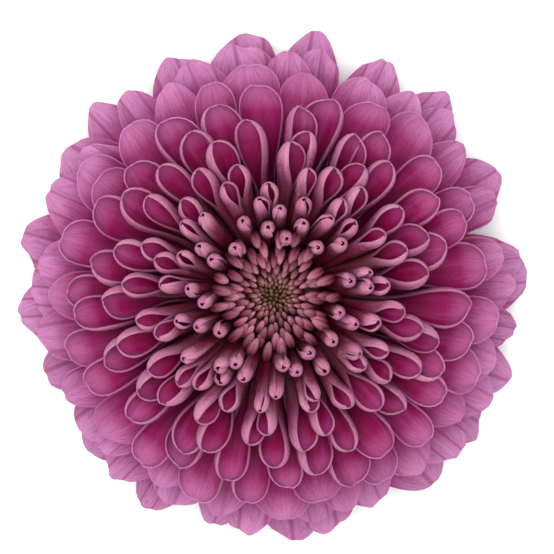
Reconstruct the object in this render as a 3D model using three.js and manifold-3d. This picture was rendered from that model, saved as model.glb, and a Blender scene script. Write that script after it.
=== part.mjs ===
// A disbud chrysanthemum: one large flower head, cut with a short length of stem and lying face up.
// Millimetres, +Z up. The origin is on the surface, under the middle of the footprint.
// Every floret stands on one golden-angle spiral: number 0 is the youngest, in the middle of the eye, and the
// last is the oldest, lowest and widest. One rule turns a floret's age into its path, width and curl.
import * as THREE from "three";
import { mergeVertices } from "three/addons/utils/BufferGeometryUtils.js";
import Module from "manifold-3d";

const mix = THREE.MathUtils.lerp;
const smooth = THREE.MathUtils.smoothstep;
const radians = THREE.MathUtils.degToRad;

// The bloom.
const BLOOM_RADIUS = 57.6; // from the axis to the tips of the oldest florets
const CROWN_HEIGHT = 45; // the tips of the quills round the eye
const HEM_FULLNESS = 1.25; // how much closer the florets stand at the hem: 1 is evenly
const CROWN_FALL = 2.3; // how late the crown turns down towards the hem: 1 is a cone
const HEM_SAG = 3; // how far the oldest tips would hang below the surface, if it didn't carry them
const QUILL_REACH = 13.6; // from the axis to the tips of the innermost quills
const ROOT_HEIGHTS = [25, 20.6]; // where the youngest and the oldest open floret grow from
const BLADE_THICKNESS = 0.62;
const BLUNTNESS = 0.45; // the width of a blade's end, as a share of the blade's
const MOUTH_SHARE = 0.62; // the width of a quill's mouth, as a share of the quill's
const CLEARANCE = 0.3; // between one body and the next
const AXIS = [0.35, 0.35]; // the flower's axis, in the frame of its footprint

// The eye, a dome of young florets.
const EYE_RADIUS = 12.1;
const EYE_BASE_RADIUS = 8.4;
const EYE_SPACE_RADIUS = 11.7; // that the quills leave to the eye
const EYE_HEIGHT = 6; // of the tips in its middle, above the receptacle
const EYE_CREST = 5.2; // how much higher the tips near its edge stand
const EYE_CROWDING = 0.66; // below 1, the spiral is wider in the middle than equal areas would make it

// The receptacle, the involucre and the stem.
const RECEPTACLE_RADIUS = 14;
const RECEPTACLE_TOP = 27;
const BRACT_ROWS = 3;
const BRACTS_PER_ROW = 13;
const STEM_RADIUS = 3.5;
const STEM_TOP = 12;
const STEM_RIBS = 8;
const GROOVE = 0.92; // the stem's radius between its ribs, as a share of that on them

// The spiral.
const YOUNG_FLORETS = 112;
const OPEN_FLORETS = 210;
const DIVERGENCE = radians(137.508);
const SPIRAL_START = radians(20);
const SEED = 7;

// The youngest open floret, a closed quill beside the eye, and the oldest, a flat blade at the hem. A curl is
// half the angle that the sheet's section turns through, and a turn is the direction of its midrib above the
// horizontal, in degrees. The claw becomes the limb between two shares of the length.
const YOUNGEST = {
  clawCurl: 3.14,
  clawWidth: 4.1,
  clawTurn: 86,
  tipTurn: 66,
  clawEnd: 0.78,
  limbStart: 1,
  swellStart: 0.44,
  tipStart: 0.93,
  squareness: 4.2,
  marginCurl: 0.4,
  reachScatter: 0.7,
  widthScatter: 0.07,
  twistScatter: 55,
  swayScatter: 0.06,
};
const OLDEST = {
  clawCurl: 1.6,
  clawWidth: 2.6,
  clawTurn: 4,
  tipTurn: -26,
  clawEnd: 0.05,
  limbStart: 0.6,
  swellStart: 0.3,
  tipStart: 0.6,
  squareness: 2,
  marginCurl: 0.9,
  reachScatter: 0.8,
  widthScatter: 0.13,
  twistScatter: 13,
  swayScatter: 0.045,
};
const between = (name, share) => mix(YOUNGEST[name], OLDEST[name], share);

// The stretch of a bloom's ages in which each change takes place.
const STAGES = {
  clawUnrolls: [0.3, 1],
  clawShortens: [0.2, 0.75],
  limbLengthens: [0.15, 0.85],
  swellsSooner: [0.5, 0.9],
  mouthOpens: [0.06, 0.3],
  tipLengthens: [0.06, 0.36],
  tipRounds: [0.4, 0.85],
  leavesTheEye: [0, 0.25],
  widens: [0.08, 0.6],
  broadens: [0.6, 1],
  mouthFlattens: [0.5, 0.8],
  marginsTighten: [0.5, 0.8],
  hoodOpens: [0.55, 0.85],
  hookFlattens: [0.5, 0.95],
  steadies: [0.05, 0.55],
};
const stage = (name, age) => smooth(age, ...STAGES[name]);

// The limb's curl at some of the bloom's ages.
const UNROLLING = [
  [0.1, 3.14],
  [0.3, 2.95],
  [0.45, 2.7],
  [0.6, 2.35],
  [0.72, 1.8],
  [0.85, 1.05],
  [1, 0.45],
];

// Half the sheet's width at the youngest, and how much it gains as it widens and as it broadens at the hem.
const HALF_WIDTH = { young: 4.5, widened: 3.3, broadened: 0.9 };
// The hood that closes a quill or a spoon at its tip, in radii of the limb, which counts no larger than a
// spoon's: how long it is, how far it hooks in, and what an opened floret keeps of it.
const HOOD = { length: 1.4, hook: 0.75, opened: 0.9, flat: 0.1, roundness: 0.97, spoonRadius: 3.3 };
// How much a spoon's mouth narrows towards its tip, and the share of the length in which a claw swells.
const MOUTH_TAPER = 0.12;
const SWELL_LENGTH = 0.42;
// How much the quills beside the eye bow out from it at the claw and stand up at the tip, in degrees.
const HUG = { claw: 38, tip: 30 };
// The length of the path's handles, as a share of the floret's.
const HANDLE = 0.36;
// How far a floret strays from the rule: mm, degrees, or a share of the bloom's ages.
const STRAY = { age: 0.05, height: 1.2, tip: 7, angle: 4 };
const YOUNG_STRAY = { reach: 0.45, tip: 0.2, outerTip: 0.5, width: 0.08 };
// A different draw for each purpose.
const DRAW = { age: 1, reach: 2, height: 3, tip: 4, angle: 5, width: 6, twist: 7, sway: 8 };
const YOUNG_DRAW = { tip: 9, width: 10, angle: 11, reach: 12 };

// The sections of a blade: where its root's point lies and where it has a section, as shares of its length,
// and how many facets go across it. Of the younger blades only the ends show.
const CUPPED = { root: 0.35, rows: [0.78, 0.975], facets: 3 };
const SPREADING = { root: 0.25, rows: [0.78, 0.98], facets: 2 };
const HEM = { root: -0.05, rows: [0.5, 0.84, 1], facets: 2 };
const SPREADING_FROM = 0.72;
const HEM_FROM = 0.88;
const QUILL = { root: 0.36, sides: 5, leastCurl: 2.97 };
// A spoon's six sides, from one margin of its mouth to the other: where its belly and its rim lie on each.
const SPOON = {
  root: 0.42,
  leastCurl: 1.95,
  belly: [0.68, 0.8, 0.85, 0.85, 0.8, 0.68],
  rim: [0.74, 0.93, 0.99, 0.99, 0.93, 0.74],
  throat: 0.8,
};
const SECTION_STEPS = 8;
const CLUB = { root: 0.1, shoulder: 0.66, sides: 5 };

// Turned outlines, as [radius, height] points.
const RECEPTACLE_SIDES = 12;
const RECEPTACLE_OUTLINE = [
  [0, 19.3],
  [13.2, 19.3],
  [15, 21],
  [33, 21.2],
  [29, 30],
  [20, 36.5],
  [15, 38],
  [12.9, 37],
  [12.3, 34],
  [9.2, RECEPTACLE_TOP],
  [0, RECEPTACLE_TOP],
];
const EYE_SPACE_SIDES = 24;
const EYE_SPACE_OUTLINE = [
  [0, RECEPTACLE_TOP],
  [EYE_BASE_RADIUS + CLEARANCE, RECEPTACLE_TOP],
  [EYE_SPACE_RADIUS, RECEPTACLE_TOP + 6.7],
  [EYE_SPACE_RADIUS, RECEPTACLE_TOP + 10],
  [EYE_SPACE_RADIUS - 2, RECEPTACLE_TOP + 12],
  [0, RECEPTACLE_TOP + 12],
];
const EYE_SIDES = 16;
const EYE_BASE = RECEPTACLE_TOP + CLEARANCE;
const EYE_OUTLINE = [
  [0, EYE_BASE],
  [EYE_BASE_RADIUS, EYE_BASE],
  [10.7, EYE_BASE + 6.6],
  [9.4, EYE_BASE + 8.6],
  [6.6, EYE_BASE + 8.4],
  [3.2, EYE_BASE + 6.6],
  [0, EYE_BASE + 4.8],
];
const CUP_SIDES = 16;
const CUP_OUTLINE = [
  [0, STEM_TOP + CLEARANCE],
  [3.9, STEM_TOP + CLEARANCE],
  [8.5, 14.2],
  [12.4, 17.2],
  [12.7, 19],
  [0, 19],
];
const STEM_OUTLINE = [
  [STEM_RADIUS, 0],
  [STEM_RADIUS - 0.1, 7],
  [STEM_RADIUS + 0.2, 10.5],
  [STEM_RADIUS + 0.8, STEM_TOP],
];

// A bract of the lowest row at its foot, its shoulder and its tip, and how much further out and higher each
// row above it stands.
const BRACT_FOOT = { radius: 4.4, height: 12.4, half: 1.3, ridge: 0.5 };
const BRACT_SHOULDER = { radius: 8, height: 13.7, half: 1.9, ridge: 0.7 };
const BRACT_TIP = { radius: 10.4, height: 15.6, half: 0.4, ridge: 0.3 };
const ROW_STEP = 1.7;
const ROW_RISES = [0.75, 1.1, 1.05];
const BRACT_BACK = { inset: 0.4, rise: 0.7 }; // where its inner corners lie, from its foot's line

const wasm = await Module();
wasm.setup();

// A number from -1 to 1 for floret k, the same each time for the same k and purpose.
function draw(k, purpose) {
  let h = Math.imul(k + 1, 0x9e3779b1) ^ Math.imul(purpose + SEED, 0x85ebca6b);
  h = Math.imul(h ^ (h >>> 15), 0x2c1b3c6d);
  h = Math.imul(h ^ (h >>> 12), 0x297a2d39);
  h ^= h >>> 15;
  return ((h >>> 0) / 2 ** 32) * 2 - 1;
}

// An open floret's own numbers. Its age runs from 0, beside the eye, to 1, at the hem of the bloom, and its
// bloom age, a little before or after that, says how far it has unrolled.
function openFloret(n) {
  const k = YOUNG_FLORETS + n;
  const age = n / (OPEN_FLORETS - 1);
  const bloomAge = THREE.MathUtils.clamp(age + STRAY.age * draw(k, DRAW.age), 0, 1);
  const rootRadius = RECEPTACLE_RADIUS * Math.sqrt((k + 0.5) / (YOUNG_FLORETS + OPEN_FLORETS));
  const rootHeight = mix(...ROOT_HEIGHTS, age);
  const spread = 1 - Math.pow(1 - age, HEM_FULLNESS);
  const reach = mix(QUILL_REACH, BLOOM_RADIUS, spread) + between("reachScatter", age) * draw(k, DRAW.reach);
  const fall = (CROWN_HEIGHT + HEM_SAG) * Math.pow(age, CROWN_FALL);
  const stray = STRAY.height * draw(k, DRAW.height);
  const height = Math.max(CROWN_HEIGHT - fall + stray, BLADE_THICKNESS / 2);
  const length = Math.hypot(height - rootHeight, reach - rootRadius);

  // The innermost quills bow out round the eye and stand up beside it.
  const hug = 1 - stage("leavesTheEye", age);
  const turning = Math.pow(age, 0.75);
  const clawTurn = radians(between("clawTurn", turning) - HUG.claw * hug);
  const tipTurn = radians(between("tipTurn", turning) + HUG.tip * hug + STRAY.tip * draw(k, DRAW.tip));
  const handle = HANDLE * length;

  const grown = HALF_WIDTH.widened * stage("widens", age) + HALF_WIDTH.broadened * stage("broadens", age);
  const scatter = 1 + between("widthScatter", age) * draw(k, DRAW.width);
  const halfWidth = (HALF_WIDTH.young + grown) * scatter;
  const limbCurl = curlAt(bloomAge);
  const hoodRadius = Math.min(halfWidth / limbCurl, HOOD.spoonRadius);
  const openness = stage("mouthOpens", bloomAge);
  return {
    age,
    angle: SPIRAL_START + DIVERGENCE * k + radians(STRAY.angle) * draw(k, DRAW.angle),
    path: [
      [rootRadius, rootHeight],
      [rootRadius + handle * Math.cos(clawTurn), rootHeight + handle * Math.sin(clawTurn)],
      [reach - handle * Math.cos(tipTurn), height - handle * Math.sin(tipTurn)],
      [reach, height],
    ],
    halfWidth,
    limbCurl,
    openness,
    clawWidth: between("clawWidth", stage("clawUnrolls", age)),
    clawCurl: between("clawCurl", stage("clawUnrolls", age)),
    clawEnd: between("clawEnd", stage("clawShortens", age)),
    limbStart: between("limbStart", stage("limbLengthens", age)),
    swellStart: between("swellStart", stage("swellsSooner", age)),
    tipStart: between("tipStart", stage("tipLengthens", bloomAge)),
    squareness: between("squareness", stage("tipRounds", age)),
    flatness: stage("mouthFlattens", bloomAge),
    marginCurl: between("marginCurl", stage("marginsTighten", age)) * openness,
    hood: mix(1, HOOD.opened, openness) * (1 - stage("hoodOpens", bloomAge)),
    hoodStart: 1 - (HOOD.length * hoodRadius) / length,
    hook: HOOD.hook * hoodRadius * mix(1, HOOD.flat, stage("hookFlattens", bloomAge)),
    twist: radians(between("twistScatter", stage("steadies", age))) * draw(k, DRAW.twist),
    sway: between("swayScatter", age) * length * draw(k, DRAW.sway),
  };
}

// The limb's curl at an age, on straight lines between the stations of its unrolling.
function curlAt(age) {
  const next = UNROLLING.findIndex(([station]) => station >= age);
  if (next <= 0) return UNROLLING[0][1];
  const [from, young] = UNROLLING[next - 1];
  const [to, old] = UNROLLING[next];
  return mix(young, old, (age - from) / (to - from));
}

// Where a rolled section runs at the place x across it, from -1 to 1, and how far it has turned there. Its
// margins are rolled more tightly than its middle.
function rolled(x, body, curl, marginCurl) {
  const turnAt = (place) => (curl * (place + marginCurl * Math.pow(place, 3))) / (1 + marginCurl);
  const step = (body * x) / SECTION_STEPS;
  let across = 0;
  let up = 0;
  for (let i = 0; i < SECTION_STEPS; i++) {
    const turn = turnAt((x * (i + 0.5)) / SECTION_STEPS);
    across += step * Math.cos(turn);
    up += step * Math.sin(turn);
  }
  return { across, up, turn: turnAt(x) };
}

// A point on a floret: u runs along it from root to tip, v across it from -1 to 1, and lift moves the point
// out of the middle of the sheet towards the side that faces the axis. An open sheet narrows to the given
// share at its tip, a hood closes a rolled one, and both lie on the surface where they would hang below it.
function floretPoint(f, u, v, lift, tipShare) {
  const [a, b, c, d] = f.path;
  const w = 1 - u;
  const bezier = (i) => w * w * w * a[i] + 3 * w * w * u * b[i] + 3 * w * u * u * c[i] + u * u * u * d[i];
  const slope = (i) => w * w * (b[i] - a[i]) + 2 * w * u * (c[i] - b[i]) + u * u * (d[i] - c[i]);
  const run = slope(0);
  const rise = slope(1);
  const size = Math.hypot(run, rise);

  const t = Math.max(0, (u - f.tipStart) / (1 - f.tipStart));
  const round = Math.sqrt(Math.max(0, 1 - Math.pow(t, f.squareness)));
  const narrowed = mix(1 - MOUTH_TAPER * t * t, Math.max(tipShare, round), f.flatness);
  const x = v * mix(1, narrowed, f.openness);
  const end = Math.max(0, (u - f.hoodStart) / (1 - f.hoodStart));
  const closing = 1 - Math.sqrt(1 - HOOD.roundness * end * end);
  const swell = smooth(u, f.swellStart, f.swellStart + SWELL_LENGTH);
  const body = mix(f.clawWidth, f.halfWidth, swell) * (1 - f.hood * closing);
  const limb = smooth(u, f.clawEnd, f.limbStart);
  const section = rolled(x, body, mix(f.clawCurl, f.limbCurl, limb), f.marginCurl * limb);

  const across = section.across - lift * Math.sin(section.turn);
  const up = section.up + lift * Math.cos(section.turn) + f.hook * closing;
  const side = across * Math.cos(f.twist) - up * Math.sin(f.twist) + f.sway * u * u;
  const normal = across * Math.sin(f.twist) + up * Math.cos(f.twist);
  const s = bezier(0) - (rise / size) * normal;
  const z = bezier(1) + (run / size) * normal;
  return aroundAxis(s, side, Math.max(z, BLADE_THICKNESS / 2 + lift), f.angle);
}

// The point at a distance from the axis, to one side of the ray at that angle, and at a height.
function aroundAxis(distance, side, height, angle) {
  return new THREE.Vector3(
    distance * Math.cos(angle) - side * Math.sin(angle),
    distance * Math.sin(angle) + side * Math.cos(angle),
    height,
  );
}

// A manifold solid from a geometry whose doubled vertices are merged first, turned the right way out.
function toSolid(geometry) {
  const bare = geometry.clone();
  bare.deleteAttribute("normal");
  bare.deleteAttribute("uv");
  const merged = mergeVertices(bare, 1e-4);
  const vertProperties = new Float32Array(merged.attributes.position.array);
  const triVerts = new Uint32Array(merged.index.array);
  const made = new wasm.Manifold(new wasm.Mesh({ numProp: 3, vertProperties, triVerts }));
  if (made.volume() > 0) return made;
  triVerts.reverse();
  return new wasm.Manifold(new wasm.Mesh({ numProp: 3, vertProperties, triVerts }));
}

// The largest body of a solid, as a geometry: hollows and crumbs that the union leaves are dropped.
function toGeometry(made) {
  const bodies = made.decompose().sort((a, b) => b.volume() - a.volume());
  const mesh = bodies[0].getMesh();
  const geometry = new THREE.BufferGeometry();
  geometry.setAttribute("position", new THREE.BufferAttribute(new Float32Array(mesh.vertProperties), 3));
  geometry.setIndex(new THREE.BufferAttribute(new Uint32Array(mesh.triVerts), 1));
  geometry.computeVertexNormals();
  return geometry;
}

// A closed solid over rings of points, all of one length, with a flat first and last ring. A ring whose
// points are all in one place makes a pointed end.
function skin(rings) {
  const count = rings[0].length;
  const faces = [];
  for (let r = 0; r + 1 < rings.length; r++) {
    for (let i = 0; i < count; i++) {
      const a = r * count + i;
      const b = r * count + ((i + 1) % count);
      faces.push(a, b, b + count, a, b + count, a + count);
    }
  }
  const last = (rings.length - 1) * count;
  for (let i = 1; i + 1 < count; i++) {
    faces.push(0, i + 1, i);
    faces.push(last, last + i, last + i + 1);
  }
  const geometry = new THREE.BufferGeometry().setFromPoints(rings.flat());
  geometry.setIndex(faces);
  return toSolid(geometry);
}

// A turned solid from [radius, height] points, on the flower's axis.
function turned(profile, sides) {
  const outline = profile.map(([r, z]) => new THREE.Vector2(r, z));
  const lathe = new THREE.LatheGeometry(outline, sides);
  lathe.rotateX(Math.PI / 2);
  return toSolid(lathe);
}

// The middle of a ring of points.
function middle(points) {
  return points.reduce((sum, p) => sum.add(p), new THREE.Vector3()).divideScalar(points.length);
}

// A blade: the two sides of the floret's sheet, joined round its edge, tapering to a point at its root.
function blade(f, { root, rows, facets }) {
  const half = BLADE_THICKNESS / 2;
  const rings = rows.map((u) => {
    const inside = [];
    const outside = [];
    for (let i = 0; i <= facets; i++) {
      const v = -1 + (2 * i) / facets;
      inside.push(floretPoint(f, u, v, half, BLUNTNESS));
      outside.unshift(floretPoint(f, u, v, -half, BLUNTNESS));
    }
    return [...inside, ...outside];
  });
  const foot = floretPoint(f, root, 0, 0, 1);
  return skin([rings[0].map(() => foot), ...rings]);
}

// A quill: a floret rolled into a tube, pointed at its root, with its mouth sunk into its tip.
function quill(f, { root, sides }) {
  const ring = (u) => {
    const points = [];
    for (let i = 0; i < sides; i++) points.push(floretPoint(f, u, -1 + (2 * i + 1) / sides, -CLEARANCE, 1));
    return points;
  };
  const shoulder = ring(f.hoodStart);
  const tip = middle(ring(1));
  const mouth = shoulder.map((p) => p.clone().sub(middle(shoulder)).multiplyScalar(MOUTH_SHARE).add(tip));
  const throat = middle(shoulder).lerp(tip, 0.3);
  const foot = middle(ring(root));
  return skin([shoulder.map(() => foot), shoulder, mouth, mouth.map(() => throat)]);
}

// A spoon: a tube cut open along its upper side, so that its rim runs from deep in its mouth round its hooded
// tip and back. Its walls bulge out beyond the rim.
function spoon(f, { root, belly, rim, throat }) {
  const sides = rim.length;
  const around = (stations) =>
    stations.map((u, i) => floretPoint(f, u, -1 + (2 * i + 1) / sides, -BLADE_THICKNESS / 2, 1));
  const edge = around(rim);
  const floor = floretPoint(f, throat, 0, BLADE_THICKNESS, 1);
  const foot = floretPoint(f, root, 0, 0, 1);
  return skin([edge.map(() => foot), around(belly), edge, edge.map(() => floor)]);
}

// The open florets, from rolled quills round the eye to the broad blades of the hem. They stand out of the
// receptacle, a low dome, and leave the eye its space.
function rayFlorets() {
  const parts = [];
  for (let n = 0; n < OPEN_FLORETS; n++) {
    const f = openFloret(n);
    if (f.limbCurl > QUILL.leastCurl) parts.push(quill(f, QUILL));
    else if (f.limbCurl > SPOON.leastCurl) parts.push(spoon(f, SPOON));
    else if (f.age < SPREADING_FROM) parts.push(blade(f, CUPPED));
    else if (f.age < HEM_FROM) parts.push(blade(f, SPREADING));
    else parts.push(blade(f, HEM));
  }
  const eyeSpace = turned(EYE_SPACE_OUTLINE, EYE_SPACE_SIDES);
  const receptacle = turned(RECEPTACLE_OUTLINE, RECEPTACLE_SIDES);
  return wasm.Manifold.union(parts).subtract(eyeSpace).add(receptacle);
}

// A young floret: a small closed club on a curved path, its tip leaning in over the middle of the eye. Its
// share of the way from the middle to the edge sets its size.
function youngFloret(k) {
  const share = Math.pow((k + 0.5) / YOUNG_FLORETS, EYE_CROWDING);
  const radius = EYE_RADIUS * Math.pow(share, 0.95) + YOUNG_STRAY.reach * share * draw(k, YOUNG_DRAW.reach);
  const crest = EYE_CREST * smooth(share, 0, 0.8) - 0.8 * smooth(share, 0.8, 1);
  const tipStray = (YOUNG_STRAY.tip + YOUNG_STRAY.outerTip * share) * draw(k, YOUNG_DRAW.tip);
  const tipHeight = RECEPTACLE_TOP + EYE_HEIGHT + crest + tipStray;
  const length = 2.6 + 2.6 * share;
  return {
    angle: SPIRAL_START + DIVERGENCE * k + radians(STRAY.angle) * draw(k, YOUNG_DRAW.angle),
    halfWidth: (0.5 + 0.66 * share) * (1 + YOUNG_STRAY.width * draw(k, YOUNG_DRAW.width)),
    path: [
      [0.8 * radius + 0.9, tipHeight - length],
      [1.02 * radius + 0.7, tipHeight - 0.3 * length],
      [0.66 * radius - 0.15, tipHeight],
    ],
  };
}

// A ring of points round a young floret, at the share u of its length, with the given share of its width.
function clubRing(f, u, width) {
  const [a, b, c] = f.path;
  const w = 1 - u;
  const bezier = (i) => w * w * a[i] + 2 * w * u * b[i] + u * u * c[i];
  const run = w * (b[0] - a[0]) + u * (c[0] - b[0]);
  const rise = w * (b[1] - a[1]) + u * (c[1] - b[1]);
  const size = Math.hypot(run, rise);
  const radius = width * f.halfWidth;
  const points = [];
  for (let i = 0; i < CLUB.sides; i++) {
    const turn = (2 * Math.PI * i) / CLUB.sides;
    const distance = bezier(0) + (rise / size) * radius * Math.cos(turn);
    const height = bezier(1) - (run / size) * radius * Math.cos(turn);
    points.push(aroundAxis(distance, radius * Math.sin(turn), height, f.angle));
  }
  return points;
}

// The eye: the young florets, on the dome that they grow from.
function youngFlorets() {
  const parts = [turned(EYE_OUTLINE, EYE_SIDES)];
  for (let k = 0; k < YOUNG_FLORETS; k++) {
    const f = youngFloret(k);
    parts.push(skin([clubRing(f, CLUB.root, 0), clubRing(f, CLUB.shoulder, 1), clubRing(f, 1, 0)]));
  }
  return wasm.Manifold.union(parts);
}

// A bract's section: a low triangle whose ridge faces down and out.
function bractRing({ radius, height, half, ridge }, row, angle, rise) {
  const distance = radius + ROW_STEP * row;
  const level = height + rise * row;
  return [
    aroundAxis(distance - BRACT_BACK.inset, half, level + BRACT_BACK.rise, angle),
    aroundAxis(distance + ridge / 2, 0, level - ridge, angle),
    aroundAxis(distance - BRACT_BACK.inset, -half, level + BRACT_BACK.rise, angle),
  ];
}

// The cup under the head, and its rows of bracts, each hugging it and free at its tip.
function involucre() {
  const parts = [turned(CUP_OUTLINE, CUP_SIDES)];
  const stations = [BRACT_FOOT, BRACT_SHOULDER, BRACT_TIP];
  for (let row = 0; row < BRACT_ROWS; row++) {
    for (let i = 0; i < BRACTS_PER_ROW; i++) {
      const angle = ((i + row / BRACT_ROWS) / BRACTS_PER_ROW) * 2 * Math.PI;
      parts.push(skin(stations.map((station, at) => bractRing(station, row, angle, ROW_RISES[at]))));
    }
  }
  return wasm.Manifold.union(parts);
}

// A short length of ribbed stalk, cut square, widening under the cup.
function stem() {
  const corners = STEM_RIBS * 2;
  const rings = STEM_OUTLINE.map(([radius, height]) => {
    const ring = [];
    for (let i = 0; i < corners; i++) {
      const r = radius * (i % 2 ? GROOVE : 1);
      ring.push(aroundAxis(r, 0, height, (i / corners) * 2 * Math.PI));
    }
    return ring;
  });
  return skin(rings);
}

const flower = new THREE.Group();
flower.position.set(...AXIS, 0);

function add(name, made, color, roughness) {
  const material = new THREE.MeshStandardMaterial({ color, roughness, metalness: 0 });
  const mesh = new THREE.Mesh(toGeometry(made), material);
  mesh.name = name;
  flower.add(mesh);
}

add("ray_florets", rayFlorets(), 0xb8589a, 0.6);
add("young_florets", youngFlorets(), 0xa5657a, 0.65);
add("involucre", involucre(), 0x5f7a3c, 0.7);
add("stem", stem(), 0x6c8a44, 0.65);

export default flower;
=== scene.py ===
"""The looks of a disbud chrysanthemum, cut with a short stem and lying face up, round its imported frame.

Sizes are in millimetres and angles in degrees, as the flower is measured, and meshes are in metres. Every
floret stands on one golden-angle spiral, and one rule turns its age, from 0 beside the eye to 1 at the hem,
into its path, width and curl, as in the solids.
"""
from __future__ import annotations

import logging
import math
from collections.abc import Callable
from dataclasses import dataclass, field
from enum import Enum, IntEnum
from functools import partial

import bpy
import numpy as np
from bpy.types import Material, Mesh, Node, NodeSocket, NodeTree, Object
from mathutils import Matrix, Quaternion, Vector


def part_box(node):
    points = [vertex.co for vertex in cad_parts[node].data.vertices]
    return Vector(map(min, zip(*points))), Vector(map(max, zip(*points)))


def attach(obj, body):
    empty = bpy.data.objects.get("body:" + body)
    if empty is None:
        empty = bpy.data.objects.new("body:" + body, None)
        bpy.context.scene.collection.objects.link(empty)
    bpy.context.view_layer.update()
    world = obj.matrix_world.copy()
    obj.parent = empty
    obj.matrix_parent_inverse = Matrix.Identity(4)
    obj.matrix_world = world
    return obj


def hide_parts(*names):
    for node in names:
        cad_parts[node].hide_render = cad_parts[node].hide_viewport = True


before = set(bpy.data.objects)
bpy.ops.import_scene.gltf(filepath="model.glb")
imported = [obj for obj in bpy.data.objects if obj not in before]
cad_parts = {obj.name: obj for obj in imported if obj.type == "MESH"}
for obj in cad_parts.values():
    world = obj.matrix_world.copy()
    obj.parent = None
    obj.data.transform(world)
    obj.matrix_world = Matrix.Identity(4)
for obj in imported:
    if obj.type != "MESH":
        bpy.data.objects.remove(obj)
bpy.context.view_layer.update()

LOG = logging.getLogger("chrysanthemum")
MM = 0.001
BODY = "root"
LOWEST = 0.3
WORD = 0xFFFFFFFF
SHADER = "Principled BSDF"
SMOOTH = {"interpolation_type": "SMOOTHSTEP"}
COLOUR = {"data_type": "RGBA"}
TIMES = {"operation": "MULTIPLY"}
Array = np.ndarray
Values = Array | float
Pair = tuple[float, float]
Triple = tuple[float, float, float]
Profile = tuple[Pair, ...]
Ageing = tuple[tuple[str, float, float, float, float], ...]
Stops = tuple[tuple[float, str], ...]


def mix(a: Values, b: Values, share: Values) -> Values:
    """Returns the value that lies a share of the way from a to b."""
    return a + (b - a) * share


def smooth(x: Values, low: float, high: float) -> Values:
    """Returns 0 below low and 1 above high, with a smooth step between them."""
    t = np.clip((x - low) / (high - low), 0, 1)
    return t * t * (3 - 2 * t)


def bezier(path: Array, t: Array) -> Array:
    """Returns the points of a Bezier curve at shares t of the way along it, one row each."""
    n = len(path) - 1
    return sum(np.outer(math.comb(n, i) * (1 - t) ** (n - i) * t**i, path[i]) for i in range(n + 1))


def set_off(path: Array, t: Array, up: Array, side: Array, angle: float) -> Array:
    """Sets points off from a Bezier curve that stands in a plane through the flower's axis.

    Args:
        path: the curve's control points, each a distance from the axis and a height.
        t: the points' shares of the way along it.
        up: how far above it they are, square to it.
        side: how far beside it they are.
        angle: the plane's direction, in radians.

    Returns:
        The points, one row each.
    """
    slope = bezier(np.diff(path, axis=0), t)
    slope /= np.linalg.norm(slope, axis=1, keepdims=True)
    out, z = (bezier(path, t) + slope[:, ::-1] * np.outer(up, (-1, 1))).T
    cos, sin = math.cos(angle), math.sin(angle)
    return np.stack([out * cos - side * sin, out * sin + side * cos, z], axis=1)


def linear(code: str) -> tuple[float, float, float, float]:
    """Turns six hex digits of sRGB into a linear colour: red, green, blue and alpha."""
    shares = [int(code[i:i + 2], 16) / 255 for i in (0, 2, 4)]
    return (*[c / 12.92 if c <= 0.04045 else ((c + 0.055) / 1.055) ** 2.4 for c in shares], 1.0)


def centre_of(node: str) -> Pair:
    """Returns the middle of a node's box in plan, in millimetres."""
    low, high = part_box(node)
    return (low.x + high.x) / 2 / MM, (low.y + high.y) / 2 / MM


AXIS = centre_of("stem")
STEM_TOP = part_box("stem")[1].z / MM
EYE_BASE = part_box("young_florets")[0].z / MM


# What an open floret's strays are drawn for, counted from 1, and what a closed bud's are. Either of a petal's
# two notches has a place and a depth. The spare ones keep the numbers of those after them.
Stray = IntEnum("Stray", (
    "AGE REACH HEIGHT TIP_TURN ANGLE WIDTH TWIST SWAY LAP KEEL RIBS NOTCHES PLACE PLACE_2 DEPTH DEPTH_2 "
    "SPARE SPARE_2 FURROW WAVE PHASE SQUARENESS POINT LATE SKEW"
))
BudStray = IntEnum("BudStray", "TIP WIDTH ANGLE RADIUS SWAY TONE LEAN", start=9)


@dataclass(frozen=True)
class Spiral:
    """The golden-angle spiral that all florets stand on, the youngest first."""

    young: int = 112
    opened: int = 210
    divergence: float = 137.508
    start: float = 20.0
    stray: float = 4.0
    seed: int = 7

    def draw(self, k: int, purpose: int) -> float:
        """Draws a stray by scattering the bits of two numbers, so that no draw depends on another.

        Args:
            k: the floret's number on the spiral.
            purpose: what the stray is for.

        Returns:
            A number from -1 to 1, always the same for the same floret and purpose.
        """
        h = ((k + 1) * 0x9E3779B1 & WORD) ^ ((purpose + self.seed) * 0x85EBCA6B & WORD)
        h = (h ^ (h >> 15)) * 0x2C1B3C6D & WORD
        h = (h ^ (h >> 12)) * 0x297A2D39 & WORD
        return (h ^ (h >> 15)) / (WORD + 1) * 2 - 1

    def angle(self, k: int, purpose: int) -> float:
        """Returns the direction in which floret k stands, in radians."""
        return math.radians(self.start + self.divergence * k + self.stray * self.draw(k, purpose))


SPIRAL = Spiral()


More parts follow.
